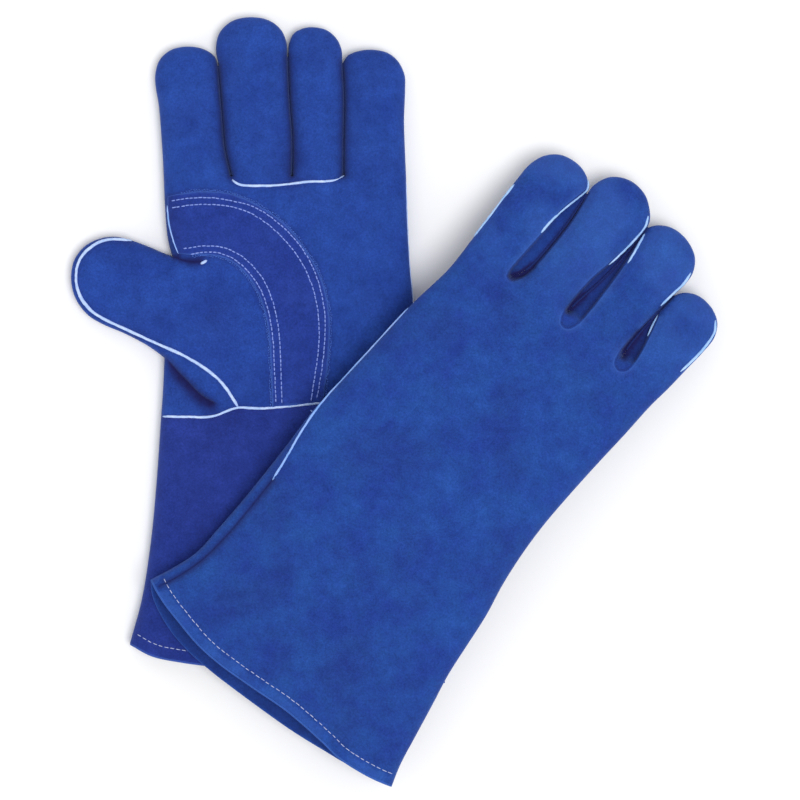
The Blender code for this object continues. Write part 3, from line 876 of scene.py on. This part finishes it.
def stitches(skin, name, paths, up=1, pitch=2.5, length=1.7, tree=None, radius=0.25,
             material=THREAD):
    """Rows of stitches, each sunk into the leather at its ends."""
    kept = skin.trees[up]
    if tree is not None:
        skin.trees[up] = tree
    bits = []
    for seed, path in enumerate(paths):
        for dash in dashes(np.asarray(path), pitch, length, seed + 7):
            bit = skin.laid(dash, up, 0.1)
            bit[:, 2] += up * np.array([-0.22, 0.12, 0.12, -0.22])
            bits.append(world(skin.glove, bit))
    skin.trees[up] = kept
    ups = [np.tile([0.0, 0.0, float(up)], (4, 1))] * len(bits)
    return add_cords(f"{skin.glove['name']}_{name}", bits, ups, radius * MM, material, sides=6)


def welt(skin, name, path, node=None, part="hand", up=1, radius=0.62, lift=0.2, material=WELT):
    """Sews a folded strip of leather into a seam, a little uneven."""
    path = respaced(np.asarray(path, float), 1.5)
    draw = np.random.RandomState(len(name) + len(path))
    spots = skin.laid(path + draw.normal(0, 0.05, path.shape), up, lift)
    spots[:, 2] = softened(spots[:, 2])
    ease = np.minimum(1, np.arange(len(spots)) / 2) * np.minimum(1, np.arange(len(spots))[::-1] / 2)
    spots[:, 2] -= up * 0.5 * (1 - ease)
    size = np.convolve(draw.uniform(0.66, 1.26, len(path) + 4), np.ones(5) / 5, "valid")
    size *= 0.55 + 0.45 * ease
    ups = np.tile([0.0, 0.0, float(up)], (len(spots), 1))
    cord = add_cords(f"{skin.glove['name']}_{name}", [world(skin.glove, spots)], [ups],
                     radius * MM * size, material)
    dress(cord, skin.glove, part, "welting", *([node] if node else []))


def rim_part(glove, finger, inset):
    """The line round a finger, from its root over its tip, this far in from its edge."""
    outline = shifted(glove["outline"], -inset)
    own = (glove["outline"][:, 1] > glove["blend"][0] + 3) & (
        finger_number(glove, outline) == finger)
    return outline[own]


# The left glove, palm up.

WRIST = curve([(-75, -3.6), (-69, -3.9), (-56.6, -4.1), (-46, -4.3), (-39.8, -3.4),
               (-33, -0.6), (-27.4, 1), (-14.6, 0.6), (2.2, 1.9), (16.2, 3.4), (35, 4.4),
               (55, 4.4), (76, 3)])
THUMB_SEAM = curve([(-87.4, 94.6), (-96.9, 95.4), (-104.2, 94.2), (-111.6, 89.8),
                    (-117, 82.4), (-118.4, 72.8), (-116, 63.6), (-109.8, 55.4),
                    (-101.2, 50), (-90.2, 44.9), (-76.2, 38.4), (-62.2, 32.3), (-55, 28.6),
                    (-48.2, 24.5), (-41.8, 19.8), (-37, 15.4), (-33.2, 10.4), (-30, 5.4),
                    (-27.4, 1.2)])
ROOT_SEAM = curve([(-30.8, 128.8), (-28.6, 126.8), (-25, 125.7), (-9, 125.4), (2.2, 126.4),
                   (12, 127.6), (21, 127.8), (28.4, 129), (31.9, 131.4)])
CREASE = curve([(-70, 31), (-66.6, 27.2), (-61, 20.9), (-56.3, 16.2), (-50.2, 9.8),
                (-44.5, 5.6), (-38.4, 3)], 0.8)
CROTCH_FOLD = curve([(-64.2, 85.8), (-59.5, 84), (-54, 82.8), (-48.4, 82.8)])
ROWS = [
    [(-65.8, 116.6), (-56, 118.2), (-45.4, 118.7), (-31.4, 117), (-17.9, 113), (-8.4, 107.2),
     (3.9, 95.8), (11.8, 84.6), (17.9, 70), (21, 54), (21.2, 40), (18.9, 19), (16.2, 4)],
    [(-65.5, 112.8), (-56, 114.3), (-45.4, 114.9), (-31.4, 113.6), (-20.7, 110), (-11.2, 104),
     (-1.7, 95.2), (6.4, 85), (12, 74.5), (16.2, 61), (17.9, 47), (17.4, 32), (15.4, 18),
     (13.2, 4)],
    [(-58.8, 89.8), (-47.9, 91.4), (-37.6, 91.1), (-28.8, 87.9), (-20.7, 81.8), (-12.8, 72),
     (-7.6, 58.8), (-4.8, 44.8), (-3.7, 28), (-2.9, 2.4)],
    [(-55, 86.7), (-47, 88), (-39.4, 87.8), (-31.4, 85.1), (-23.5, 79), (-17.2, 71.2),
     (-12, 60.3), (-8.8, 46.6), (-7.5, 33), (-6.9, 18), (-6.2, 2)],
]


def strap_outline(outer, inner, end):
    """The outline of a thumb strap, with its end in the seam beside the index finger."""
    return np.vstack([end[::-1][1:-1], outer, inner[::-1]])


def rough(line, seed, size=0.14):
    """A line with the ragged edge of cut suede."""
    draw = np.random.RandomState(seed)
    off = np.convolve(draw.normal(0, 1, len(line) + 2), (0.25, 0.5, 0.25), "valid")
    return line + (shifted(line, 1) - line) * (off * size)[:, None]


def thumb_tuck(points):
    """How deep each place lies in the fold beside the thumb, which is steep above its crease."""
    x = points[:, 0]
    reach = np.where(below(CREASE, points), 6.0, 0.8)
    along = smooth(-76, -61, x) * (1 - smooth(-44, -36, x))
    return along * np.exp(-((distance(points, CREASE) / reach) ** 1.5))


def left_upper(points, h, rise):
    x, y = points.T
    h = h * (1 + 0.06 * smooth(120, 175, y))
    h += 2.2 * rise * np.exp(-(((x + 44) / 22) ** 2) - ((y - 44) / 26) ** 2)
    h -= 5.6 * rise * thumb_tuck(points)
    h += valley(points, CROTCH_FOLD, 2.8, 5.0)
    h += groove(points, THUMB_SEAM, 1.3, 0.8)
    h += groove(points, WRIST, 1.4, 0.8)
    h += groove(points, ROOT_SEAM, 1.6, 1.1)
    h += rise * (0.42 * waves(points, 30, 3) + 0.2 * waves(points, 11, 4))
    return np.maximum(h, 0)


def left_tones(points, up):
    """Painted shade in the folds, along the seams and the strap's edges, and deep between the
    fingers.
    """
    tone = np.ones(len(points))
    # Painted shade beside the slits between the fingers.
    for cut in LEFT["slits"]:
        away = distance(points, cut[::2])
        tone -= 0.5 * np.exp(-((away / 2.2) ** 2)) + 0.16 * np.exp(-((away / 6) ** 2))
    if up < 0:
        return tone
    # Painted shade in the crease beside the thumb.
    tuck = thumb_tuck(points)
    tone -= 1.35 * tuck ** 1.4 + 0.45 * tuck ** 8
    tone -= 0.16 * np.exp(-(((points[:, 0] + 40) / 13) ** 2) - ((points[:, 1] - 46) / 22) ** 2)
    tone -= 0.12 * np.clip(waves(points, 48, 31), 0, 1)
    # Painted shade in the fold at the thumb's crotch.
    width = 1.0 + 1.1 * smooth(-62, -50, points[:, 0])
    tone -= 1.15 * near(CROTCH_FOLD, points, width)
    seam = curve(INDEX_SEAM)[::-1]
    beside = points[:, 0] < np.interp(points[:, 1], seam[:, 1], seam[:, 0])
    tone -= 0.35 * (beside & (points[:, 1] > 86) & (points[:, 1] < 119) & (points[:, 0] > -70))
    # Painted shade along the seams' grooves and just beside the strap's edges.
    for line in (THUMB_SEAM, WRIST, ROOT_SEAM):
        tone -= 0.25 * near(line, points, 1.5)
    for line in (curve(STRAP_OUTER), curve(STRAP_INNER)):
        tone -= 0.4 * near(line, points, 1.3)
    return np.clip(tone, 0, 2)


def left_lower(points, h, rise):
    h = h + 0.25 * rise * waves(points, 24, 8)
    return np.clip(h, -BELLY, 0)


LEFT["wrist"] = WRIST
LEFT["thumb_bend"] = [(-64.9, 57.2), (-94.7, 60.1)]
LEFT["thumb_base"] = np.vstack([
    HINGE, curve(STRAP_INNER), THUMB_SEAM[THUMB_SEAM[:, 0] > -67][::-1]])
LEFT_SEAMS = [WRIST, THUMB_SEAM, ROOT_SEAM, CREASE, shifted(CREASE, 0.6), shifted(CREASE, -0.6),
              CROTCH_FOLD]
LEFT_SKIN = Skin(LEFT, LEFT_SEAMS, left_upper, left_lower, left_tones)
away = distance(LEFT_SKIN.middles, LEFT["outline"], True)
leather(LEFT_SKIN, {1: away < 0, -1: away < 2.2})

outer, inner = rough(curve(STRAP_OUTER, 0.8), 1), rough(curve(STRAP_INNER, 0.8), 2)
strap, strap_tree = patch(LEFT_SKIN, "strap_leather",
                          strap_outline(outer, inner, curve(INDEX_SEAM)), 1, 1.15,
                          [curve(row) for row in ROWS])
dress(strap, LEFT, "hand", "strap_suede", "thumb_strap")
sewn = stitches(LEFT_SKIN, "strap_stitches", [curve(row) for row in ROWS], tree=strap_tree,
                length=1.85, radius=0.35, material=BLUE_THREAD)
dress(sewn, LEFT, "hand", "thread", "strap_stitching")
for name, line, off in (("outer", outer, 0.2), ("inner", inner, -0.2)):
    rows = [rough(shifted(line[9:], k * off), 3 + k, 0.5) for k in (1, 3)]
    fringe = stitches(LEFT_SKIN, f"strap_{name}_fringe", rows, 1, 1.5, 0.9, radius=0.22,
                      material=FRAY)
    dress(fringe, LEFT, "hand", "strap_suede")

welt(LEFT_SKIN, "thumb_seam_welt", THUMB_SEAM, "thumb_welt", "thumb", radius=0.95)
welt(LEFT_SKIN, "wrist_seam_welt", WRIST[inside(LEFT["outline"], WRIST)], "wrist_welt",
     radius=0.78)
welt(LEFT_SKIN, "finger_root_seam_welt", ROOT_SEAM, "finger_root_welt", radius=0.78)
welt(LEFT_SKIN, "index_side_seam_welt", curve(INDEX_SEAM)[4:], radius=0.5, lift=0.5,
     material=BLUE_WELT)
welt(LEFT_SKIN, "thumb_crotch_welt", curve([(-48.3, 81.7), (-46.6, 82.6), (-45, 83.6)]),
     radius=1.0, lift=0.4)
welt(LEFT_SKIN, "wrist_seam_welt_end",
     curve([(13.2, -0.6), (15.4, -1.8), (18.6, -1.8), (20.8, 0.4), (21.4, 3.6)]), radius=0.7,
     material=BLUE_WELT)
for k, finger in enumerate(FINGERS):
    welt(LEFT_SKIN, f"{finger}_seam_welt", rim_part(LEFT, k, 2.2), f"{finger}_welt", finger,
         up=-1, radius=0.55)



def hem_row(glove, hem):
    """The line of a hem's stitches, ending just before the glove's sides."""
    line = shifted(glove[hem], HEM_ROW)
    clear = distance(line, glove["outline"], True) > 1.4
    return line[clear & inside(glove["outline"], line)]


for up, hem in HEMS.items():
    dress(turned_hem(LEFT_SKIN, up, CUFF if up > 0 else HEM), LEFT, "hand", "suede")
    dress(stitches(LEFT_SKIN, f"hem_stitches_{hem}", [hem_row(LEFT, hem)], up, 3.3, 2.1), LEFT,
          "hand", "thread", "hem_stitching")


def gap_linings(skin):
    """A fold of leather at the bottom of each gap between two fingers, darkened to a low tone as
    painted shade.
    """
    glove = skin.glove
    for finger, cut in zip(FINGERS, glove["slits"]):
        middle = respaced(cut[: (len(cut) + 1) // 2], 1.5)
        middle = middle[middle[:, 1] > glove["blend"][0]]
        spots = world(glove, np.column_stack([middle, np.full(len(middle), 0.25)]))
        fold = add_cords(f"{glove['name']}_{finger}_gap_fold", [spots],
                         [np.tile([0.0, 0.0, 1.0], (len(spots), 1))], 0.55 * MM, FOURCHETTE,
                         tone=0.3)
        dress(fold, glove, finger, "suede")


gap_linings(LEFT_SKIN)


def side_line(glove, low, high, right, inset):
    """The glove's side edge between two heights, this far in from it."""
    outline = glove["outline"]
    line = shifted(outline, -inset)
    chosen = (outline[:, 1] > low) & (outline[:, 1] < high) & ((outline[:, 0] > 0) == right)
    return line[chosen & (np.abs(outline[:, 0]) > 45)]


welt(LEFT_SKIN, "little_side_seam_welt", side_line(LEFT, -138, 129, True, 0.2),
     "little_side_welt", radius=0.4, lift=-0.2)
welt(LEFT_SKIN, "cuff_side_seam_welt", side_line(LEFT, -124, 24, False, 1.8),
     "thumb_side_welt", up=-1, radius=0.5)
welt(LEFT_SKIN, "palm_side_seam_welt", side_line(LEFT, 98, 132, False, 1.8), up=-1, radius=0.5)

# The right glove, back up.

SIDE_SEAM = curve([(-54.4, 72), (-55.2, 60), (-56, 48), (-57.2, 32), (-58.7, 10), (-59.1, -5),
                   (-57.9, -20), (-55.4, -37), (-53.9, -50)])
ROLL_SEAM = curve([(-53.9, -50), (-54, -70), (-54.6, -90), (-57, -110), (-62, -126),
                   (-66.5, -136)])
RIGHT_WRIST = curve([(-63, -2), (-40, 0.5), (-10, 0), (20, 2), (50, 4), (84, 3)])
RIGHT_ROOT = curve([(-14, 117.5), (-8, 115), (20, 115.5), (45, 116.5), (54, 119.5)])
RIGHT_THUMB_SEAM = curve([(-57, 30), (-44, 29), (-30, 22), (-20, 12), (-14, 0.5)])


def to_right(points):
    """Places on the left palm, moved onto the right one."""
    return [(x + 18.4, y * 120 / 131) for x, y in points]


def right_upper(points, h, rise):
    x, y = points.T
    h = h * (1 + 0.05 * smooth(110, 160, y))
    for zone, tab in zip(GAPS, TABS):
        far_in = within(zone, points)
        deep = 0.22 + 0.78 * smooth(tab - 2, tab + 2, y)
        h -= deep * 1.6 * np.exp(-((np.minimum(far_in, 0) / 2.0) ** 2))
        h -= deep * 4.4 * smooth(0, 1.3, far_in)
    for pit in PITS:
        h -= 6 * near(pit, points, 1.7)
    h += groove(points, ROLL_SEAM, 1.1, 2.5)
    h += rise * (0.4 * waves(points, 34, 13) + 0.16 * waves(points, 12, 14))
    return np.maximum(h, 0)


def right_tones(points, up):
    """Painted shade between the fingers, in the pits and along the rolled edge, a painted highlight
    on the gaps' lips, and lighter at the hem.
    """
    x, y = points.T
    tone = 1 + 0.16 * (distance(points, RIGHT["hem"][::6]) < 6)
    if up < 0:
        return tone
    tone += 0.12 * smooth(100, 180, y) - 0.08 * (1 - smooth(-110, -40, y))
    tone -= 0.14 * np.clip(waves(points, 46, 32), 0, 1)
    # Painted shade over each gap's strip and just inside its edge, a painted highlight on the lip
    # just outside it, and painted shade along its slit.
    for zone, cut, tab, shade in zip(GAPS, RIGHT["slits"], TABS, (0.22, 0.4, 0.5)):
        far_in = within(zone, points)
        tone -= shade * smooth(-0.2, 0.6, far_in) * smooth(tab - 1, tab + 3, y)
        tone -= 0.35 * np.exp(-(((far_in - 0.6) / 0.6) ** 2))
        tone += 0.22 * np.exp(-(((far_in + 0.7) / 0.5) ** 2))
        tone -= 0.75 * near(cut[::2], points, 1.2)
    # Painted shade in the pits where the gaps' walls part, and in the rolled edge's groove.
    for pit in PITS:
        tone -= 1.1 * near(pit, points, 2.0)
    tone -= 0.75 * near(ROLL_SEAM, points, 1.1)
    return np.clip(tone, 0, 2)


def right_lower(points, h, rise):
    return h + 0.3 * rise * waves(points, 26, 18)


RIGHT["wrist"] = RIGHT_WRIST
RIGHT["thumb_bend"] = [(-30, 2), (-30, 26)]
RIGHT["thumb_base"] = np.vstack([[(-57, 30)], RIGHT_THUMB_SEAM, [(-60, -2)]])
TABS = (122.5, 127, 126.5)
RIGHT_SEAMS = [shifted(zone, off) for zone in GAPS for off in (-1.2, -0.6, 0, 0.6, 1.2)]
RIGHT_SEAMS += [shifted(ROLL_SEAM, off) for off in (-0.7, 0, 0.7)]
RIGHT_SEAMS += [RIGHT_WRIST, RIGHT_ROOT, RIGHT_THUMB_SEAM, *PITS]
RIGHT_SKIN = Skin(RIGHT, RIGHT_SEAMS, right_upper, right_lower, right_tones)
gap = np.zeros(len(RIGHT_SKIN.middles), bool)
for zone in GAPS:
    gap |= inside(zone, RIGHT_SKIN.middles)
away = distance(RIGHT_SKIN.middles, RIGHT["outline"], True)
leather(RIGHT_SKIN, {1: gap, -1: away < 2.2})

inner = rough(curve(to_right(STRAP_INNER), 0.8), 4)
outer = rough(curve(to_right(STRAP_OUTER), 0.8), 3)
rows = [curve(to_right(row)) for row in ROWS]
end = curve(to_right(INDEX_SEAM))
strap, strap_tree = patch(RIGHT_SKIN, "strap_leather", strap_outline(outer, inner, end), -1,
                          1.15, rows)
dress(strap, RIGHT, "hand", "strap_suede", "thumb_strap")
dress(stitches(RIGHT_SKIN, "strap_stitches", rows, -1, tree=strap_tree, radius=0.3,
               material=BLUE_THREAD), RIGHT, "hand", "thread", "strap_stitching")

SEEN_WELTS = {
    "index": [[(-50.3, 126), (-50.4, 140), (-50.8, 152), (-50.9, 163)],
              [(-22.6, 151), (-22.2, 160), (-20.6, 171), (-18, 182), (-17.4, 187.5),
               (-20, 191.5)]],
    "middle": [[(18.2, 161), (19.6, 170), (20.9, 182), (21, 190), (18.6, 196)]],
    "ring": [[(26.2, 168), (24.8, 178), (23.4, 187)],
             [(55.2, 161), (56.2, 169), (57.6, 179), (57, 186)]],
    "little": [[(60.2, 143), (58.6, 150), (57.4, 156)],
               [(86.6, 139), (88, 148), (88.8, 158), (88, 168), (84.4, 173.6)]],
}
for k, finger in enumerate(FINGERS):
    welt(RIGHT_SKIN, f"{finger}_seam_welt", rim_part(RIGHT, k, 1.8), f"{finger}_welt", finger,
         up=-1, radius=0.5)
    for n, path in enumerate(SEEN_WELTS[finger]):
        welt(RIGHT_SKIN, f"{finger}_back_welt_{n}", curve(path), part=finger, radius=0.8,
             material=SKY_WELT)
welt(RIGHT_SKIN, "side_seam_welt", SIDE_SEAM, "thumb_side_welt", radius=0.68,
     material=BLUE_WELT)
welt(RIGHT_SKIN, "palm_side_seam_welt", side_line(RIGHT, 70, 121, False, 1.8), up=-1,
     radius=0.5)
welt(RIGHT_SKIN, "little_side_seam_welt", side_line(RIGHT, -132, 120, True, 1.8),
     "little_side_welt", up=-1, radius=0.5)
welt(RIGHT_SKIN, "wrist_seam_welt", RIGHT_WRIST[4:-4], "wrist_welt", up=-1)
welt(RIGHT_SKIN, "finger_root_seam_welt", RIGHT_ROOT, "finger_root_welt", up=-1)
welt(RIGHT_SKIN, "thumb_base_welt", RIGHT_THUMB_SEAM[4:], up=-1)

for up, hem in HEMS.items():
    dress(turned_hem(RIGHT_SKIN, up, HEM), RIGHT, "hand", "suede")
    dress(stitches(RIGHT_SKIN, f"hem_stitches_{hem}", [hem_row(RIGHT, hem)], up, 3.4, 2.3),
          RIGHT, "hand", "thread", "hem_stitching")

gap_linings(RIGHT_SKIN)

# The right glove's thumb, folded under its palm.

FOLDED = np.vstack([
    curve([(-52, -4), (-52, 8), (-50.5, 20), (-48.6, 45), (-47.5, 65), (-47.2, 84), (-44, 95),
           (-37, 101.5), (-28.5, 103.6), (-20, 101.5), (-13, 95), (-10, 85), (-10, 65),
           (-11, 40), (-12, 18), (-11.5, 6), (-12, -4)]),
    respaced(np.array([(-12.0, -4), (-52, -4)]), STEP)[1:-1]])


def folded_thumb():
    points, triangles, on_edge = triangulated(FOLDED, [])
    rise = np.sqrt(swelled(points, triangles, on_edge, 6.5))
    middle = -17.8 + 11.5 * (1 - smooth(-2, 24, points[:, 1]))
    placed = {}
    for up, high in ((1, 5.5), (-1, -5.0)):
        h = middle + high * rise * np.where(on_edge, 0, 1) + up * 0.2 * rise * waves(points, 14, 3)
        placed[up] = world(RIGHT, np.column_stack([points, h]))
    faces = {up: facing(triangles, points, up) for up in (1, -1)}
    normals = joined_normals(placed, faces, on_edge)
    for up, name, node in ((1, "front", "thumb_front"), (-1, "back", "thumb_back")):
        piece = add_piece(f"right_thumb_{name}_leather", placed[up], faces[up], THUMB,
                          normals[up])
        dress(piece, RIGHT, "thumb", "suede", node)
    seam = shifted(FOLDED, -0.2)
    seam = seam[seam[:, 1] > 6]
    seam = np.column_stack([seam, -17.8 + 11.5 * (1 - smooth(-2, 24, seam[:, 1]))])
    cord = add_cords("right_thumb_seam_welt", [world(RIGHT, seam)],
                     [np.tile([0.0, 0.0, 1.0], (len(seam), 1))], 0.6 * MM, WELT)
    dress(cord, RIGHT, "thumb", "welting", "thumb_welt")


folded_thumb()

# The floor, the light and the camera.


def add_floor():
    bpy.ops.mesh.primitive_plane_add(size=12, location=(0, 0, -0.0003))
    floor = bpy.context.object
    floor.name = "floor"
    made, shader, nodes, links = new_material("pale floor", 0.8)
    shader.inputs["Base Color"].default_value = (0.93, 0.93, 0.93, 1)
    shader.inputs["Specular IOR Level"].default_value = 0.1
    floor.data.materials.append(made)


def add_light():
    sky = bpy.data.worlds.new("studio")
    sky.use_nodes = True
    sky.node_tree.nodes["Background"].inputs["Color"].default_value = (1, 1, 1, 1)
    sky.node_tree.nodes["Background"].inputs["Strength"].default_value = 0.74
    bpy.context.scene.world = sky
    lamp = bpy.data.lights.new("key", "SUN")
    lamp.energy = 1.62
    lamp.angle = math.radians(26)
    key = bpy.data.objects.new("key", lamp)
    bpy.context.scene.collection.objects.link(key)
    key.rotation_euler = Vector((-0.2, 0.165, -1)).to_track_quat("-Z", "Y").to_euler()


def add_camera():
    data = bpy.data.cameras.new("camera")
    data.lens = 400
    data.sensor_width = 36
    data.clip_end = 20
    camera = bpy.data.objects.new("camera", data)
    bpy.context.scene.collection.objects.link(camera)
    camera.location = (0.0034, 0.0008, 0.02 + 448 * MM * data.lens / data.sensor_width)
    bpy.context.scene.camera = camera


add_floor()
add_light()
add_camera()
bpy.context.scene.view_settings.view_transform = "Standard"
